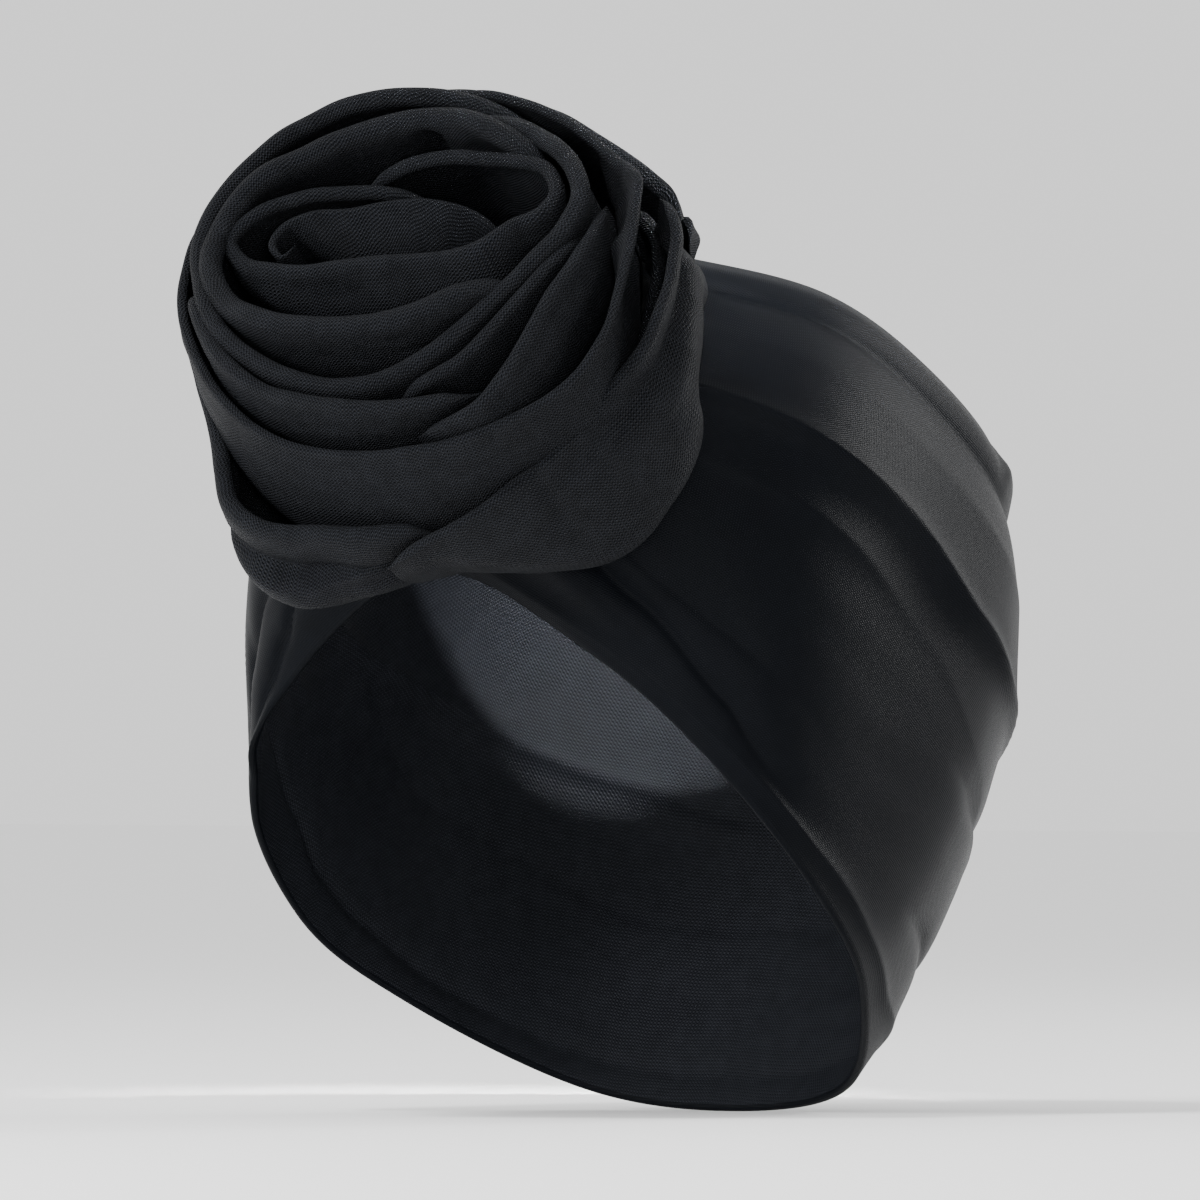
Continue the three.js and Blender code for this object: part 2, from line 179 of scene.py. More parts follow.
# Each wrap of the rosette follows its lip: right, top, height, lean and pleat at
# points in the rosette's frame. lean is how far the wall spreads below the lip, and
# pleat is the height of its creases. The spread ends depth plus puff times lean below
# the lip, and from there the wall draws in to foot times its size, the later the
# larger tuck is. dents are single folds: along the lip (from its end if negative),
# down from it, long, wide, slant and height.
WRAPS = [
    {
        "name": "eye_fold_back", "node": "eye_fold", "winding": 1,
        "lip": [
            (23, 11, 29, -6, 0.2), (16, 15, 35, -9, 0.2), (6, 17, 39, -13, 0.2), (-4, 16, 41, -14, 0.2),
            (-13, 13, 42, -12, 0.2), (-22, 10, 43, -8, 0.1), (-28, 5, 43, -1, 0), (-29, 0, 43, 0, 0),
            (-26, -3, 43, 0, 0), (-24, 1, 42, 0, 0),
        ],
        "depth": 12, "puff": 0, "foot": 0.9, "tuck": 2, "half": 0.8, "roll": 1.0,
        "spacing": 9, "seed": 1, "dents": [],
    },
    {
        "name": "eye_fold_front", "node": "eye_fold", "winding": 1,
        "lip": [
            (3, 18, 33, 1, 0), (-5, 17, 38, 1, 0), (-13, 15.5, 41, 1, 0), (-24, 13, 43, 1, 0.1),
            (-34, 9, 43, 1, 0.1), (-39, 2, 43, 2, 0.1), (-35, -2, 44, 4, 0.2), (-26, -5, 46, 7, 0.2),
            (-18, -5, 46, 9, 0.2), (-7, -3, 46, 11, 0.2), (4, -2, 46, 11, 0.2), (14, -1, 46, 10, 0.2),
            (22, 0, 47, 8, 0.2), (29, 5, 47, 5, 0.2), (35, 8, 46, 3, 0.2), (37, 13, 45, 1, 0.2),
            (33, 19.5, 44, 1, 0.2), (25, 22, 43, 2, 0.3), (15, 22, 42, 6, 0.3), (4, 22, 41, 8, 0.2),
            (-6, 20, 39, 6, 0.1), (-15, 18.5, 34, 2, 0),
        ],
        "depth": 4, "puff": 0.8, "foot": 0.75, "tuck": 2, "half": 0.8, "roll": 1.7,
        "spacing": 9, "seed": 2, "dents": [(78, 5, 7, 3, 0.3, -1.2)],
    },
    {
        "name": "inner_wrap_cup", "node": "inner_wrap", "winding": -1,
        "lip": [
            (31, -7, 40, 1, 0.1), (28, -11, 46, 2, 0.2), (20, -16, 50, 4, 0.4), (8, -21, 50, 5, 0.4),
            (-8, -23, 50, 5, 0.4), (-24, -21, 50, 5, 0.4), (-35, -15, 48, 3, 0.3), (-41, -6, 47, 2, 0.3),
            (-42, 4, 45, 1, 0.3), (-38, 15, 45, 0, 0.3), (-27, 25, 45, -2, 0.3), (-14, 32, 45, -3, 0.3),
            (-2, 36, 44, -3, 0.3), (11, 34, 44, -1, 0.3), (20, 30, 44, 0, 0.2), (27, 26, 42, 0, 0.1),
            (32, 21.5, 38, 0, 0),
        ],
        "depth": 8, "puff": 1, "foot": 0.7, "tuck": 2, "half": 0.8, "roll": 2.7,
        "spacing": 9, "seed": 3, "dents": [(-37, 8, 3.5, 10, 0, 3.2), (-29, 10, 6, 10, 0, -2.0)],
    },
    {
        "name": "inner_wrap_ridge", "node": "inner_wrap", "winding": -1,
        "lip": [
            (5, 38, 33, 0, 0), (13, 36.5, 38, 0, 0.1), (22, 33.5, 41, 0, 0.2), (29.5, 29.5, 43, 0, 0.2),
            (35.5, 25, 44.5, 0, 0.2), (40.5, 19.5, 45.5, 0, 0.2), (44, 12, 46, 0, 0.2),
            (41.5, 3, 46, 1, 0.2), (36, -5, 46, 2, 0.2), (30, -13, 46, 2, 0.3), (24.5, -21, 46, 2, 0.3),
            (18, -28, 46, 3, 0.4), (11, -33.5, 46, 3, 0.4), (3, -37, 46, 3, 0.4), (-9, -37, 46, 2, 0.4),
            (-24, -31, 46, 3, 0.4), (-36, -22, 46, 2, 0.4), (-43, -11, 45, 1, 0.4), (-47, 2, 43, 1, 0.5),
            (-45, 14, 42, 1, 0.5), (-36, 28, 42, 1, 0.5), (-22, 38, 42, 1, 0.5), (-8, 41.5, 41, 1, 0.4),
            (6, 42, 38, 1, 0.3), (18, 40, 32, 0, 0.1), (28, 36.5, 24, 0, 0),
        ],
        "depth": 8, "puff": 1, "foot": 0.66, "tuck": 2, "half": 0.8, "roll": 2.2,
        "spacing": 8, "seed": 4, "dents": [],
    },
    {
        "name": "inner_wrap_twin", "node": "inner_wrap", "winding": -1,
        "lip": [
            (45, 6, 38, 0, 0.1), (42.5, 0, 43, 1, 0.2), (39.5, -6, 45, 2, 0.2), (35.5, -13.5, 46, 3, 0.3),
            (30.5, -22.5, 46, 3, 0.3), (26, -30, 46, 2, 0.3), (20, -35, 45, 1, 0.2), (13, -38, 42, 0, 0.1),
            (8, -39.5, 38, 0, 0),
        ],
        "depth": 6, "puff": 1, "foot": 0.62, "tuck": 2, "half": 0.8, "roll": 1.7,
        "spacing": 8, "seed": 10, "dents": [],
    },
    {
        "name": "middle_wrap_ridge", "node": "middle_wrap", "winding": 1,
        "lip": [
            (-47, -8, 37, 1, 0.2), (-45, -13, 42, 1, 0.3), (-40, -21, 44, 2, 0.4), (-32, -30, 46, 4, 0.4),
            (-22, -37, 46, 5, 0.5), (-9, -41.5, 47, 5, 0.5), (4, -43.5, 47, 4, 0.5), (16, -43, 46, 2, 0.4),
            (24, -40.5, 44, 1, 0.3), (29, -36.5, 40, 0, 0.2),
        ],
        "depth": 5, "puff": 1, "foot": 0.6, "tuck": 2, "half": 0.8, "roll": 1.9,
        "spacing": 8, "seed": 5, "dents": [],
    },
    {
        "name": "middle_wrap_panel", "node": "middle_wrap", "winding": -1,
        "lip": [
            (46, 15.5, 36, 0, 0), (47, 7, 41, 1, 0.1), (45, -6, 45.5, 4, 0.2), (41.5, -16, 47, 6, 0.2),
            (37.5, -28, 47, 7, 0.3), (34.5, -36, 46, 6, 0.3), (30.5, -42.5, 45, 4, 0.3),
            (25, -46, 43, 2, 0.2), (19, -47, 40, 1, 0.1), (15.5, -47, 37, 0, 0),
        ],
        "depth": 5, "puff": 0.8, "foot": 0.57, "tuck": 2, "half": 0.8, "roll": 1.5,
        "spacing": 9, "seed": 6, "dents": [],
    },
    {
        "name": "outer_wrap_big", "node": "outer_wrap", "winding": 1,
        "lip": [
            (-44, 27, 34, 2, 0.7), (-49, 14, 36, 2, 0.8), (-51, 0, 38, 2, 0.8), (-49, -13, 39, 3, 0.7),
            (-41, -28, 40, 4, 0.4), (-29, -41, 40, 6, 0.2), (-16, -49, 40, 7, 0.2), (-2, -52, 40, 7, 0.2),
            (12, -52, 40, 7, 0.2), (27, -48.5, 40, 6, 0.2), (40, -42, 40, 4, 0.3), (50, -34, 40, 2, 0.4),
            (55.5, -24, 40, 0, 0.3), (57.5, -13, 40, -3, 0.3), (58.5, -3.5, 40, -7, 0.4),
            (59, 4.5, 40, -10, 0.4), (58, 14, 39.5, -11, 0.4), (56.5, 22, 39, -11.5, 0.3),
            (53, 25.5, 38, -11, 0.3), (47.5, 28.5, 37, -8, 0.3),
            (40, 32.5, 36, -2, 0.4), (32, 37.5, 36, 0, 0.4), (20, 43, 35, 1, 0.4), (4, 47, 33, 1, 0.4),
            (-10, 48, 30, 1, 0.3),
        ],
        "depth": 12, "puff": 1.5, "foot": 0.42, "tuck": 2, "half": 0.8, "roll": 1.2,
        "spacing": 8, "seed": 7, "dents": [(-92, 6, 4, 5, 0.4, -1.2), (-84, 9, 5, 7, -0.5, 1.2)],
    },
    {
        "name": "outer_wrap_back", "node": "outer_wrap", "winding": 1,
        "lip": [
            (45.5, -31, 14, 0, 0), (50, -24.5, 16, 1, 0.1), (52.5, -17, 18, 2, 0.2),
            (54, -8, 19, 2, 0.2), (54.3, 2, 19.5, 2, 0.2), (53.8, 10, 20, 2, 0.2),
            (52, 16.5, 20, 1, 0.2), (49, 21, 19, 0, 0.2), (45, 25, 17, 0, 0.1), (40, 29, 14, 0, 0),
        ],
        "depth": 8, "puff": 1, "foot": 0.45, "tuck": 2, "half": 0.8, "roll": 1.8,
        "spacing": 9, "seed": 11, "dents": [],
    },
    {
        "name": "left_ruffle_sheet", "node": "left_ruffle", "winding": 1,
        "lip": [
            (51.5, 29, 9, 0, 0.2), (49.5, 32.5, 13, 0, 0.3), (45, 35.5, 16, 0, 0.8), (38, 40, 18, 0, 0.8),
            (31, 43.5, 20, 0, 0.8), (21.5, 48, 22, 0, 0.8), (11, 51.5, 22, 0, 0.8), (0, 54, 22, 0, 0.8),
            (-9, 54.5, 22, 0, 0.8), (-21, 51, 24, 0, 0.8), (-35, 43, 26, 0, 0.8), (-46.5, 31, 26, 0, 0.8),
            (-53, 16, 26, 0, 0.8), (-54, 2, 26, 0, 0.8), (-52.5, -11, 26, 0, 0.8), (-47, -23, 26, 1, 0.4),
            (-40, -36, 26, 2, 0.4), (-35, -47, 26, 4, 0.5), (-30, -55.5, 26, 8, 0.5),
            (-24, -59.5, 26, 10, 0.5), (-17, -61, 26, 11, 0.5), (-10, -61.5, 26, 10, 0.5),
            (-2, -62.5, 26, 8, 0.5), (6, -62.5, 25, 4, 0.3), (13, -62, 23, 1, 0.1), (18, -61, 19, 0, 0),
        ],
        "depth": 6, "puff": 1, "foot": 0.36, "tuck": 1.4, "half": 1.0, "roll": 2.0,
        "spacing": 8, "seed": 8,
        "dents": [
            (-34, 11, 22, 3.6, 0.05, -6.5), (-38, 20, 20, 4, 0.05, 1.6),
            (-70, 7, 10, 3, 0.3, -1.0), (-24, 18, 16, 2.5, 0, -1.4),
        ],
    },
    {
        "name": "right_ruffle_sheet", "node": "right_ruffle", "winding": 1,
        "lip": [
            (7, -71.5, 18.5, -4, 0), (10.5, -70, 21, -3, 0.1), (16.5, -65.5, 23, 0, 0.2),
            (25, -60, 24.5, 4, 0.2), (32, -54, 25.5, 8, 0.2), (37.5, -48.5, 26, 11, 0.2),
            (43.5, -41.5, 27, 13, 0.3), (49, -33.5, 28.5, 13, 0.3), (54.5, -26.5, 30, 12, 0.3),
            (59, -20, 31, 10, 0.3), (62, -13, 32, 6, 0.3), (63.5, -5.5, 33, 4, 0.3), (63.2, 3, 33, 3, 0.3),
            (62.5, 10, 33, 2, 0.2), (61.3, 14.5, 33, 0, 0.1), (59, 18.5, 32, -1, 0.1),
            (56.5, 21.5, 30, -2, 0),
        ],
        "depth": 6, "puff": 1.8, "foot": 0.40, "tuck": 1.5, "half": 1.0, "roll": 1.3,
        "spacing": 14, "seed": 9,
        "dents": [
            (98, 8, 36, 3.4, 0.05, -5.0), (-12, 24, 6, 3.5, -1.0, 3.8), (-19, 33, 8, 5, -1.0, -2.0),
            (78, 22, 12, 5, 0.6, -1.2), (62, 24, 10, 5, 0.5, 1.2), (44, 16, 12, 5, 0.4, -0.8),
        ],
    },
    {
        "name": "right_ruffle_knob", "node": "right_ruffle", "winding": -1,
        "lip": [
            (51.6, 24.4, 8, 0, 0), (52.4, 26.2, 11.5, 0, 0), (54.2, 26.8, 12.5, 0, 0),
            (56.0, 25.0, 13, 0, 0), (57.2, 22.0, 13, -1, 0), (57.6, 19.6, 12, -2, 0),
        ],
        "depth": 7, "puff": 1, "foot": 0.5, "tuck": 1.0, "half": 0.7, "roll": 1.1,
        "spacing": 9, "seed": 12, "dents": [],
    },
]

# Cloth looks. row_turns and wale_turns are the stitches' turns in radians per metre.
STITCH = 2 * math.pi / 0.0009
FINE_STITCH = 2 * math.pi / 0.0006
THREAD_NOISE = {"Scale": 260.0, "Detail": 2.0}
BROAD_NOISE = {"Scale": 28.0, "Detail": 3.0}
BROAD_TONE = 0.3              # how much the broad noise lightens the cloth
TONE_REACH = 1.8              # relief at which the stitches are lightest
ROUGHNESS_RANGE = 0.06
BAND_LOOK = {
    "dark": (0.0010, 0.0013, 0.0019, 1), "light": (0.0050, 0.0058, 0.0078, 1),
    "roughness": 0.38, "specular": 0.030, "sheen": 0.0, "sheen_roughness": 0.35,
    "row_turns": FINE_STITCH, "wale_turns": FINE_STITCH, "rib": 0.6, "waver": 3.0, "uneven": 0.6,
    "bump": 0.35, "depth": 0.00010,
}
# Inner face of the band: partly the matte wrong side of the jersey, partly painted light, its colours
# several times lighter than the outer face to light the inside of the far wall
INSIDE_LOOK_PAINTED_LIGHT = {
    "dark": (0.0020, 0.0024, 0.0032, 1), "light": (0.0170, 0.0185, 0.0230, 1),
    "roughness": 0.50, "specular": 0.05, "sheen": 0.0, "sheen_roughness": 0.45,
    "row_turns": STITCH, "wale_turns": STITCH, "rib": 0.5, "waver": 3.0, "uneven": 0.8,
    "bump": 0.5, "depth": 0.00020,
}
ROSE_LOOK = {
    "dark": (0.0004, 0.0006, 0.0010, 1), "light": (0.0210, 0.0230, 0.0285, 1),
    "roughness": 0.55, "specular": 0.05, "sheen": 0.015, "sheen_roughness": 0.25,
    "row_turns": STITCH, "wale_turns": STITCH, "rib": 0.5, "waver": 3.0, "uneven": 1.0,
    "bump": 1.0, "depth": 0.00060,
}


def smooth(value):
    value = np.clip(value, 0, 1)
    return value * value * (3 - 2 * value)


def bell(value):
    return np.exp(-value * value)


def cyclic(values, place):
    """Rows of a table that goes evenly once round, at places counted in rows."""
    values = np.asarray(values, float)
    base = np.floor(place).astype(int)
    part = (place - base)[..., None]
    a, b, c, d = (values[(base + step) % len(values)] for step in (-1, 0, 1, 2))
    square = part * part
    cube = square * part
    return (
        (2 * cube - 3 * square + 1) * b
        + (cube - 2 * square + part) * (c - a) / 2
        + (3 * square - 2 * cube) * c
        + (cube - square) * (d - b) / 2
    )


def between(places, values, place):
    """A value between the entries of an open table, easing at each entry."""
    row = np.clip(np.searchsorted(places, place, side="right") - 1, 0, len(places) - 2)
    places = np.asarray(places, float)
    values = np.asarray(values, float)
    part = smooth((place - places[row]) / (places[row + 1] - places[row]))
    return values[row] + (values[row + 1] - values[row]) * part


def curve_through(points, step):
    """Points about step apart on a smooth open curve through the given ones."""
    points = np.asarray(points, float)
    spans = np.linalg.norm(np.diff(points[:, :3], axis=0), axis=1)
    knots = np.concatenate([[0], np.cumsum(spans)])
    slopes = np.diff(points, axis=0) / spans[:, None]
    tangents = np.empty_like(points)
    tangents[0] = slopes[0]
    tangents[-1] = slopes[-1]
    before = spans[:-1, None]
    after = spans[1:, None]
    tangents[1:-1] = (slopes[:-1] * after + slopes[1:] * before) / (before + after)
    count = max(8, int(round(knots[-1] / step)))
    place = np.linspace(0, knots[-1], count + 1)
    row = np.clip(np.searchsorted(knots, place, side="right") - 1, 0, len(spans) - 1)
    span = spans[row][:, None]
    part = (place - knots[row])[:, None] / span
    square = part * part
    cube = square * part
    return (
        (2 * cube - 3 * square + 1) * points[row]
        + (cube - 2 * square + part) * tangents[row] * span
        + (3 * square - 2 * cube) * points[row + 1]
        + (cube - square) * tangents[row + 1] * span
    )


def band_table():
    """The band's four lengthwise curves as twelve points each, closed round the head."""
    left = np.array([section[1:] for section in BAND_SECTIONS], float)
    right = left[-2:0:-1] * (-1, 1, 1)
    return np.concatenate([left, right])


BAND_TABLE = band_table()


def smooth_band(turn, across):
    """A point of the plain band: turn in degrees, across from 0 (face) to 1 (crown)."""
    rows = cyclic(BAND_TABLE.reshape(12, 12), turn / 30).reshape(turn.shape + (4, 3))
    t = across * 3
    weights = np.stack([
        -(t - 1) * (t - 2) * (t - 3) / 6,
        t * (t - 2) * (t - 3) / 2,
        -t * (t - 1) * (t - 3) / 2,
        t * (t - 1) * (t - 2) / 6,
    ], axis=-1)
    return (rows * weights[..., None]).sum(axis=-2)


def band_normal(turn, across):
    """The plain band's outward direction at a point."""
    along = smooth_band(turn + 1, across) - smooth_band(turn - 1, across)
    up = smooth_band(turn, across + 0.01) - smooth_band(turn, across - 0.01)
    normal = np.cross(along, up)
    return normal / np.linalg.norm(normal, axis=-1, keepdims=True)


def crest(value, sharpness):
    """A fold's section: a crease for a low sharpness, rounder for a high one."""
    return np.exp(sharpness - np.sqrt(value * value + sharpness * sharpness))


def fold_relief(turn, across):
    """How far folds, gathers and ripples lift the band off its plain form."""
    relief = np.zeros_like(across)
    for sharpness, faceward, crownward, table in BAND_FOLDS:
        turns, places, heights = np.array(table, float).T
        offset = across - between(turns, places, turn)
        width = np.where(offset < 0, faceward, crownward)
        relief += between(turns, heights, turn) * crest(offset / width, sharpness)
    from_front = np.minimum(turn, 360 - turn)
    height, count, middle, spread = GATHERS
    gathers = np.sin(2 * math.pi * count * across + turn * 0.05) * bell((from_front - middle) / spread)
    relief = (relief + height * gathers) * smooth((from_front - FOLD_START) / FOLD_RISE)
    height, count, wander = RIPPLES
    drift = wander * np.sin(np.radians(2 * turn)) + 0.8 * np.sin(np.radians(5 * turn + 140 * across))
    ripples = np.sin(2 * math.pi * count * across + drift) * np.sin(np.radians(3 * turn) + 9 * across)
    return relief + height * ripples


def band_surface(turn, across, inset):
    """A point of the folded band, inset below its outer face."""
    normal = band_normal(turn, across)
    offset = fold_relief(turn, across) - inset
    return smooth_band(turn, across) + normal * offset[..., None]


def ring_mesh(name, rings, lengths, around):
    """A closed mesh from rings of points. Each ring is one closed section of the sheet.
    lengths gives every point's place on the cloth, in metres, for the weave."""
    columns, size = rings.shape[:2]
    index = np.arange(columns * size).reshape(columns, size)
    follow = np.roll(index, -1, axis=0) if around else index[1:]
    current = index if around else index[:-1]
    faces = np.stack([
        current, follow, np.roll(follow, -1, axis=1), np.roll(current, -1, axis=1),
    ], axis=-1).reshape(-1, 4)
    if not around:
        half = size // 2
        low = np.arange(half - 1)
        high = size - 1 - low
        first = np.stack([index[0, low], index[0, low + 1], index[0, high - 1], index[0, high]], axis=-1)
        last = np.stack([index[-1, high], index[-1, high - 1], index[-1, low + 1], index[-1, low]], axis=-1)
        faces = np.concatenate([faces, first, last])
    mesh = bpy.data.meshes.new(name)
    mesh.from_pydata((rings.reshape(-1, 3) * MM).tolist(), [], faces.tolist())
    mesh.update()
    layer = mesh.uv_layers.new(name="cloth")
    corners = np.empty(len(mesh.loops), np.int32)
    mesh.loops.foreach_get("vertex_index", corners)
    layer.data.foreach_set("uv", lengths.reshape(-1, 2)[corners].astype(np.float32).ravel())
    mesh.shade_smooth()
    piece = bpy.data.objects.new(name, mesh)
    bpy.context.scene.collection.objects.link(piece)
    return piece


def make_band():
    """The band as one closed wall with two rounded rims."""
    turn = np.arange(BAND_COLUMNS) * 360 / BAND_COLUMNS
    across = np.linspace(0, 1, BAND_ROWS + 1)
    turns, places = np.meshgrid(turn, across, indexing="ij")
    outer = band_surface(turns, places, 0.0)
    inner = band_surface(turns, places, CLOTH)[:, ::-1]
    bend = np.linspace(0, math.pi, RIM_ROUNDING + 2)[1:-1]
    rims = []
    for start, end, row in ((outer[:, -1], inner[:, 0], -1), (inner[:, -1], outer[:, 0], 0)):
        middle = (start + end) / 2
        away = outer[:, row] - outer[:, row - 1 if row else 1]
        away /= np.linalg.norm(away, axis=-1, keepdims=True)
        side = start - middle
        reach = CLOTH / 2 * away
        sideways = np.cos(bend)[:, None] * side[:, None]
        rims.append(middle[:, None] + sideways + np.sin(bend)[:, None] * reach[:, None])
    rings = np.concatenate([outer, rims[0], inner, rims[1]], axis=1)
    around = turns[:, :1] / 360 * BAND_GIRTH
    down = np.cumsum(np.linalg.norm(np.diff(rings, axis=1, prepend=rings[:, :1]), axis=-1), axis=1) * MM
    lengths = np.stack([np.broadcast_to(around, down.shape), down], axis=-1)
    piece = ring_mesh("head_band_cloth", rings[:, ::-1], lengths[:, ::-1], True)
    places = np.arange(len(piece.data.polygons)) % rings.shape[1]
    # the inner face takes the second material, a matte wrong side lightened with painted light
    inward = (places >= RIM_ROUNDING) & (places < RIM_ROUNDING + BAND_ROWS)
    piece.data.polygons.foreach_set("material_index", inward.astype(np.int32))
    return piece


def band_filling():
    """The band's outer form, closed at both ends, as a tree that finds its nearest point."""
    turn = np.arange(FILLING_COLUMNS) * 360 / FILLING_COLUMNS
    across = np.linspace(0, 1, FILLING_ROWS + 1)
    turns, places = np.meshgrid(turn, across, indexing="ij")
    grid = band_surface(turns, places, 0.0)
    columns, rows = grid.shape[:2]
    points = grid.reshape(-1, 3).tolist()
    faces = []
    for column in range(columns):
        after = (column + 1) % columns
        for row in range(rows - 1):
            a = column * rows + row
            b = after * rows + row
            faces.append((a, b, b + 1, a + 1))
        faces.append((after * rows, column * rows, len(points)))
        faces.append((column * rows + rows - 1, after * rows + rows - 1, len(points) + 1))
    points.append(grid[:, 0].mean(axis=0).tolist())
    points.append(grid[:, -1].mean(axis=0).tolist())
    return BVHTree.FromPolygons(points, faces)


def outside(filling, point):
    """How far a point is outside the band's form: negative inside it."""
    nearest, normal, _, _ = filling.find_nearest(Vector(point))
    return (Vector(point) - nearest).dot(normal)


def rose_point(right, top, height):
    """Points of the rosette's frame in the frame of the headwrap."""
    return (
        ROSE_MIDDLE
        + right[..., None] * ROSE_RIGHT
        + top[..., None] * ROSE_TOP
        + height[..., None] * ROSE_AXIS
    )


def wrap_wall(wrap, lip, outward, height):
    """Right and top of a wall's middle at given heights, one row per column."""
    lean = lip[:, 3:4]
    depth = wrap["depth"] + wrap["puff"] * np.maximum(lean, 0)
    below = np.clip((lip[:, 2:3] - height) / depth, 0, 1)
    spread = lean * (1 - (1 - below) ** ROUNDING) ** (1 / ROUNDING)
    right = lip[:, 0:1] + outward[:, 0:1] * spread
    top = lip[:, 1:2] + outward[:, 1:2] * spread
    belly = lip[:, 2:3] - depth
    under = np.clip((belly - height) / (belly - FOOT_HEIGHT), 0, 1)
    shrink = 1 - (1 - wrap["foot"]) * under ** wrap["tuck"]
    return right * shrink, top * shrink


def waves(rng, place, recipe):
    """Smooth random waves along a place."""
    height, longest, count = recipe
    total = np.zeros_like(place)
    for order in range(1, count + 1):
        phase = rng.uniform(0, 2 * math.pi)
        total += np.sin(2 * math.pi * order * place / longest + phase) / order ** 0.7
    return height * (total / count ** 0.5)


def pleats(wrap, run, fall):
    """Creases along a wall: round crests and narrow valleys that wander, join and fade."""
    rng = np.random.default_rng(wrap["seed"])
    drift = waves(rng, run, DRIFT_WAVES)
    slant = waves(rng, run + 3 * fall, SLANT_WAVES)
    phase = fall / wrap["spacing"] + drift + slant
    rounds = np.abs(np.sin(math.pi * phase)) ** 0.8 - 0.6
    fade = 0.6 + waves(rng, run - 2 * fall, FADE_WAVES)
    small = 0.18 * np.abs(np.sin(math.pi * (2.3 * phase + waves(rng, run, SMALL_WAVES))))
    return rounds * fade + small


def dents(wrap, run, fall):
    """Single folds of a wall, each a long soft ridge or valley."""
    relief = np.zeros_like(fall)
    for along, down, long, wide, slant, height in wrap["dents"]:
        offset = run - (along if along >= 0 else run[-1] + along)
        section = crest((fall - down - slant * offset) / wide, DENT_SHARPNESS)
        relief += height * bell(offset / long) * section
    return relief


def smoothed(values, reach):
    """Rows of values, each averaged with its neighbours within reach."""
    kernel = np.hanning(2 * reach + 3)[1:-1]
    kernel /= kernel.sum()
    padded = np.pad(values, ((reach, reach), (0, 0)), mode="edge")
    columns = [np.convolve(padded[:, k], kernel, mode="valid") for k in range(values.shape[1])]
    return np.stack(columns, axis=-1)


def foot_heights(wrap, lip, outward, filling):
    """The height at which each column of a wall meets the band, or its lowest height."""
    probe = np.linspace(0, 1, PROBES + 1)
    height = lip[:, 2:3] + (FOOT_HEIGHT - lip[:, 2:3]) * probe
    spots = rose_point(*wrap_wall(wrap, lip, outward, height), height)
    found = height[:, -1].copy()
    for column in range(len(lip)):
        for step in range(FIRST_PROBE, len(probe)):
            if outside(filling, spots[column, step]) < BAND_CLEARANCE + wrap["half"]:
                found[column] = height[column, step - 1]
                break
    return found[:, None]


def make_wrap(wrap, filling):
    """One sheet of the rosette, and its flat width and length in metres."""
    lip = curve_through(wrap["lip"], WALL_STEP)
    rng = np.random.default_rng(wrap["seed"] + 50)
    run = np.cumsum(np.linalg.norm(np.diff(lip[:, :3], axis=0, prepend=lip[:1, :3]), axis=1))
    lip[:, 2] += waves(rng, run, LIP_WAVES)
    along = smoothed(np.gradient(lip[:, :2], axis=0), 3)
    along /= np.linalg.norm(along, axis=1, keepdims=True)
    outward = np.stack([along[:, 1], -along[:, 0]], axis=-1) * wrap["winding"]
    foot_height = smoothed(foot_heights(wrap, lip, outward, filling), 2)

    share = 1 - (1 - np.linspace(0, 1, WALL_ROWS + 1)) ** LIP_CROWDING
    height = foot_height + (lip[:, 2:3] - wrap["roll"] - foot_height) * share
    middle = rose_point(*wrap_wall(wrap, lip, outward, height), height)
    normal = np.cross(np.gradient(middle, axis=0), np.gradient(middle, axis=1))
    normal /= np.linalg.norm(normal, axis=-1, keepdims=True)
    flat_outward = outward[:, 0:1] * ROSE_RIGHT + outward[:, 1:2] * ROSE_TOP
    turned = (normal * flat_outward[:, None]).sum(axis=-1, keepdims=True)
    normal *= np.where(turned < 0, -1, 1)

    steps = np.linalg.norm(np.diff(middle, axis=1, append=middle[:, -1:]), axis=-1)
    fall = np.cumsum(steps[:, ::-1], axis=1)[:, ::-1]
    crease = lip[:, 4:5] * pleats(wrap, run[:, None] + 0 * fall, fall) + dents(wrap, run[:, None], fall)
    crease *= smooth(fall / CREASE_START)
    middle = middle + normal * crease[..., None]

    half = wrap["half"] + (wrap["roll"] - wrap["half"]) * bell(fall / (ROLL_REACH * wrap["roll"]))
    from_end = np.minimum(run, run[-1] - run)
    half = half * (END_SHARE + (1 - END_SHARE) * smooth(from_end / END_TAPER))[:, None]
    outer = middle + normal * half[..., None]
    inner = middle - normal * half[..., None]
    bend = np.linspace(0, math.pi, LIP_ROUNDING + 2)[1:-1]
    reach = half[:, -1, None, None]
    away = middle[:, -1] - middle[:, -3]
    away /= np.linalg.norm(away, axis=-1, keepdims=True)
    cap = (
        middle[:, -1, None]
        + np.cos(bend)[None, :, None] * reach * normal[:, -1, None]
        + np.sin(bend)[None, :, None] * reach * away[:, None]
    )
    rings = np.concatenate([outer, cap, inner[:, ::-1]], axis=1)
    if wrap["winding"] < 0:
        rings = rings[::-1]
        run = run[::-1]
    around = np.linalg.norm(np.diff(rings, axis=1, prepend=rings[:, :1]), axis=-1)
    cloth = np.stack([np.broadcast_to(run[:, None], around.shape), np.cumsum(around, axis=1)], axis=-1)
    flat = (fall[:, 0].mean() * MM, run.max() * MM)
    return ring_mesh(wrap["name"], rings, cloth * MM, False), flat


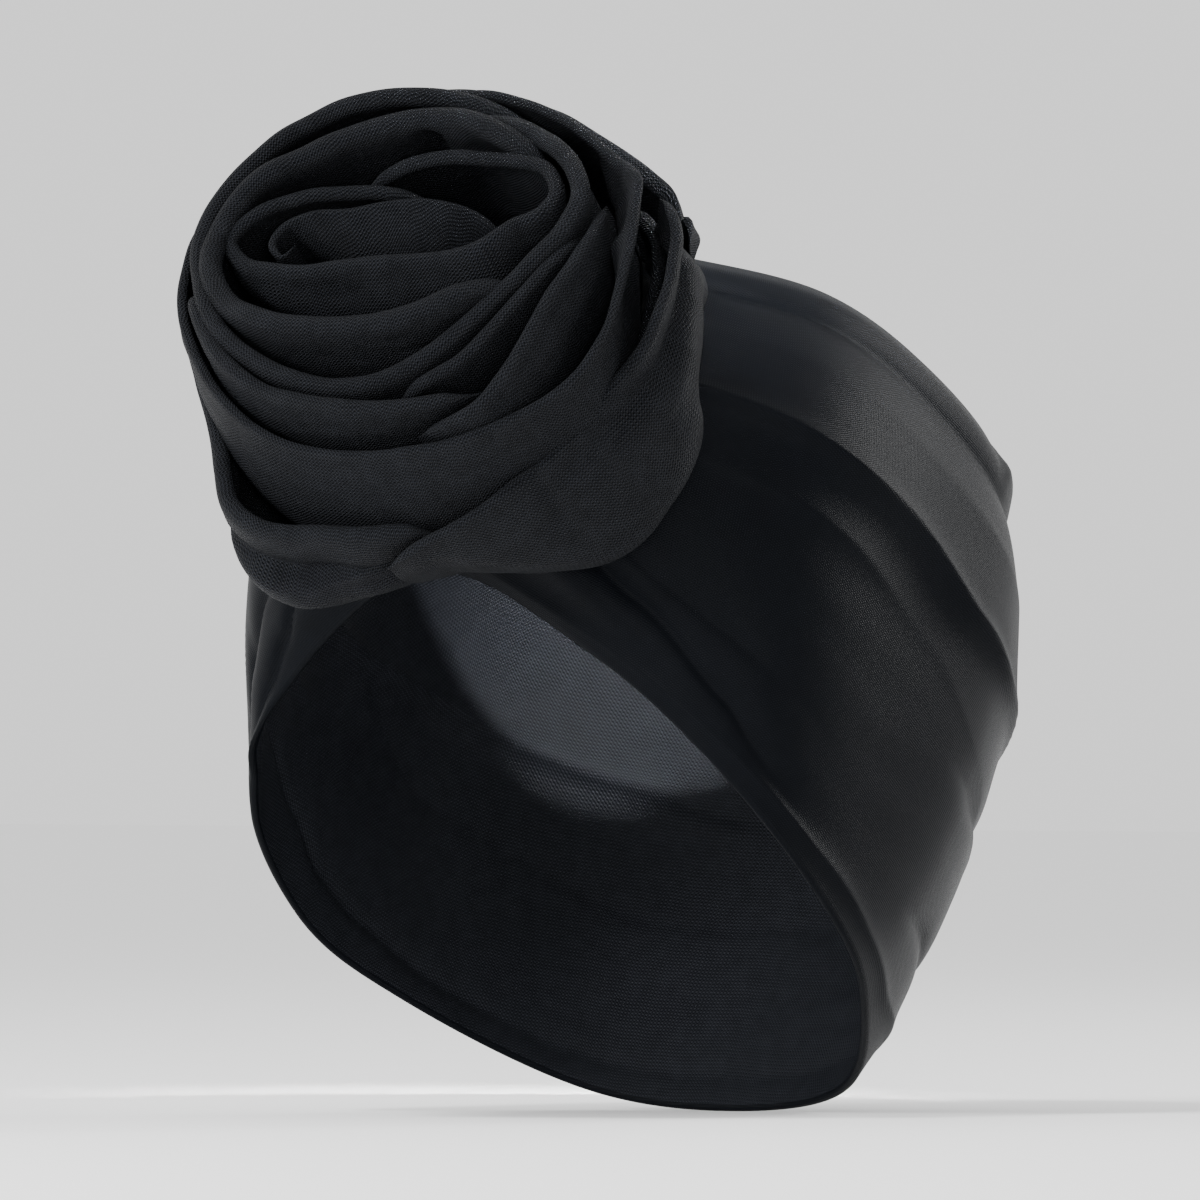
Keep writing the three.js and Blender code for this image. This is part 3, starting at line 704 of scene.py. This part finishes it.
def cloth_material(name, look):
    """Knitted cloth: a fine mesh of stitches, uneven threads, and a soft sheen."""
    material = bpy.data.materials.new(name)
    material.use_nodes = True
    tree = material.node_tree
    shader = tree.nodes["Principled BSDF"]
    shader.inputs["Specular IOR Level"].default_value = look["specular"]
    shader.inputs["Sheen Weight"].default_value = look["sheen"]
    shader.inputs["Sheen Roughness"].default_value = look["sheen_roughness"]

    def node(kind, settings, links):
        """A node with its settings, or input values, and the sources of its inputs."""
        made = tree.nodes.new(kind)
        for key, value in settings.items():
            if hasattr(made, key):
                setattr(made, key, value)
            else:
                made.inputs[key].default_value = value
        for key, source in links.items():
            tree.links.new(source, made.inputs[key])
        return made

    def math_node(operation, first, second=0.0):
        made = node("ShaderNodeMath", {"operation": operation}, {0: first})
        if isinstance(second, float):
            made.inputs[1].default_value = second
        else:
            tree.links.new(second, made.inputs[1])
        return made.outputs[0]

    place = node("ShaderNodeUVMap", {"uv_map": "cloth"}, {}).outputs["UV"]
    axes = node("ShaderNodeSeparateXYZ", {}, {"Vector": place})
    solid_place = node("ShaderNodeTexCoord", {}, {}).outputs["Object"]
    uneven = node("ShaderNodeTexNoise", THREAD_NOISE, {"Vector": solid_place}).outputs["Fac"]
    broad = node("ShaderNodeTexNoise", BROAD_NOISE, {"Vector": solid_place}).outputs["Fac"]
    drift = math_node("MULTIPLY", broad, look["waver"])
    rows = math_node("ADD", math_node("MULTIPLY", axes.outputs["X"], look["row_turns"]), drift)
    wales = math_node("ADD", math_node("MULTIPLY", axes.outputs["Y"], look["wale_turns"]), drift)
    across = math_node("SINE", rows)
    along = math_node("SINE", wales)
    stitch = math_node("MULTIPLY", across, along)
    rib = math_node("MULTIPLY", along, look["rib"])
    relief = math_node("ADD", stitch, rib)
    relief = math_node("ADD", relief, math_node("MULTIPLY", uneven, look["uneven"]))
    bump = node("ShaderNodeBump", {"Strength": look["bump"], "Distance": look["depth"]}, {"Height": relief})
    tree.links.new(bump.outputs["Normal"], shader.inputs["Normal"])
    tone = node("ShaderNodeMapRange", {"From Min": 0.0, "From Max": TONE_REACH}, {"Value": relief})
    tone = math_node("ADD", tone.outputs[0], math_node("MULTIPLY", broad, BROAD_TONE))
    ramp = node("ShaderNodeMix", {"data_type": "RGBA"}, {"Factor": tone})
    for socket in ramp.inputs:
        if socket.type == "RGBA" and socket.name == "A":
            socket.default_value = look["dark"]
        if socket.type == "RGBA" and socket.name == "B":
            socket.default_value = look["light"]
    color = [socket for socket in ramp.outputs if socket.type == "RGBA"][0]
    tree.links.new(color, shader.inputs["Base Color"])
    rough = node(
        "ShaderNodeMapRange",
        {"To Min": look["roughness"] - ROUGHNESS_RANGE, "To Max": look["roughness"] + ROUGHNESS_RANGE},
        {"Value": broad},
    )
    tree.links.new(rough.outputs[0], shader.inputs["Roughness"])
    return material


def make_camera():
    """The camera that sees the headwrap as the photograph does."""
    data = bpy.data.cameras.new("camera")
    data.sensor_width = SENSOR
    data.lens = SENSOR * VIEW_DISTANCE / VIEW_WIDTH
    data.clip_end = CLIP_END
    camera = bpy.data.objects.new("camera", data)
    bpy.context.scene.collection.objects.link(camera)
    towards = Vector((math.sin(VIEW_AZIMUTH), -math.cos(VIEW_AZIMUTH), 0))
    right = Vector((math.cos(VIEW_AZIMUTH), math.sin(VIEW_AZIMUTH), 0))
    target = right * VIEW_RIGHT + Vector((0, 0, VIEW_UP))
    camera.location = target + towards * VIEW_DISTANCE
    camera.rotation_euler = towards.to_track_quat("Z", "Y").to_euler()
    bpy.context.scene.camera = camera


def make_light(name, place, aim, size, power, spread):
    data = bpy.data.lights.new(name, "AREA")
    data.shape = "DISK"
    data.size = size
    data.energy = power
    data.spread = math.radians(spread)
    lamp = bpy.data.objects.new(name, data)
    bpy.context.scene.collection.objects.link(lamp)
    lamp.location = place
    lamp.rotation_euler = (Vector(place) - Vector(aim)).to_track_quat("Z", "Y").to_euler()


def make_stage(floor_height):
    """The pale floor, the even sky and the lights."""
    mesh = bpy.data.meshes.new("floor")
    corners = [(-1, -1), (1, -1), (1, 1), (-1, 1)]
    points = [(x * FLOOR_REACH, y * FLOOR_REACH, floor_height) for x, y in corners]
    mesh.from_pydata(points, [], [(0, 1, 2, 3)])
    floor = bpy.data.objects.new("floor", mesh)
    bpy.context.scene.collection.objects.link(floor)
    material = bpy.data.materials.new("floor_pale")
    material.use_nodes = True
    shader = material.node_tree.nodes["Principled BSDF"]
    shader.inputs["Base Color"].default_value = FLOOR_COLOR
    shader.inputs["Roughness"].default_value = FLOOR_ROUGHNESS
    mesh.materials.append(material)
    floor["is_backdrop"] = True
    world = bpy.data.worlds.new("studio")
    bpy.context.scene.world = world
    world.use_nodes = True
    sky = world.node_tree.nodes["Background"]
    sky.inputs["Color"].default_value = (1, 1, 1, 1)
    sky.inputs["Strength"].default_value = SKY_STRENGTH
    for name, settings in LIGHTS.items():
        make_light(name, *settings)


make_camera()
band_cloth = cloth_material("band_satin", BAND_LOOK)
# the inside cloth is the matte wrong side, painted lighter as painted light on the far wall's inside
inside_cloth_painted_light = cloth_material("band_inside_painted_light", INSIDE_LOOK_PAINTED_LIGHT)
rose_cloth = cloth_material("rosette_knit", ROSE_LOOK)

band = make_band()
band.data.materials.append(band_cloth)
band.data.materials.append(inside_cloth_painted_light)
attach(band, "root")
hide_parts("head_band")

filling = band_filling()
for wrap in WRAPS:
    piece, flat = make_wrap(wrap, filling)
    piece.data.materials.append(rose_cloth)
    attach(piece, "root")
    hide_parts(wrap["node"])

make_stage(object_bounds()[0].z)
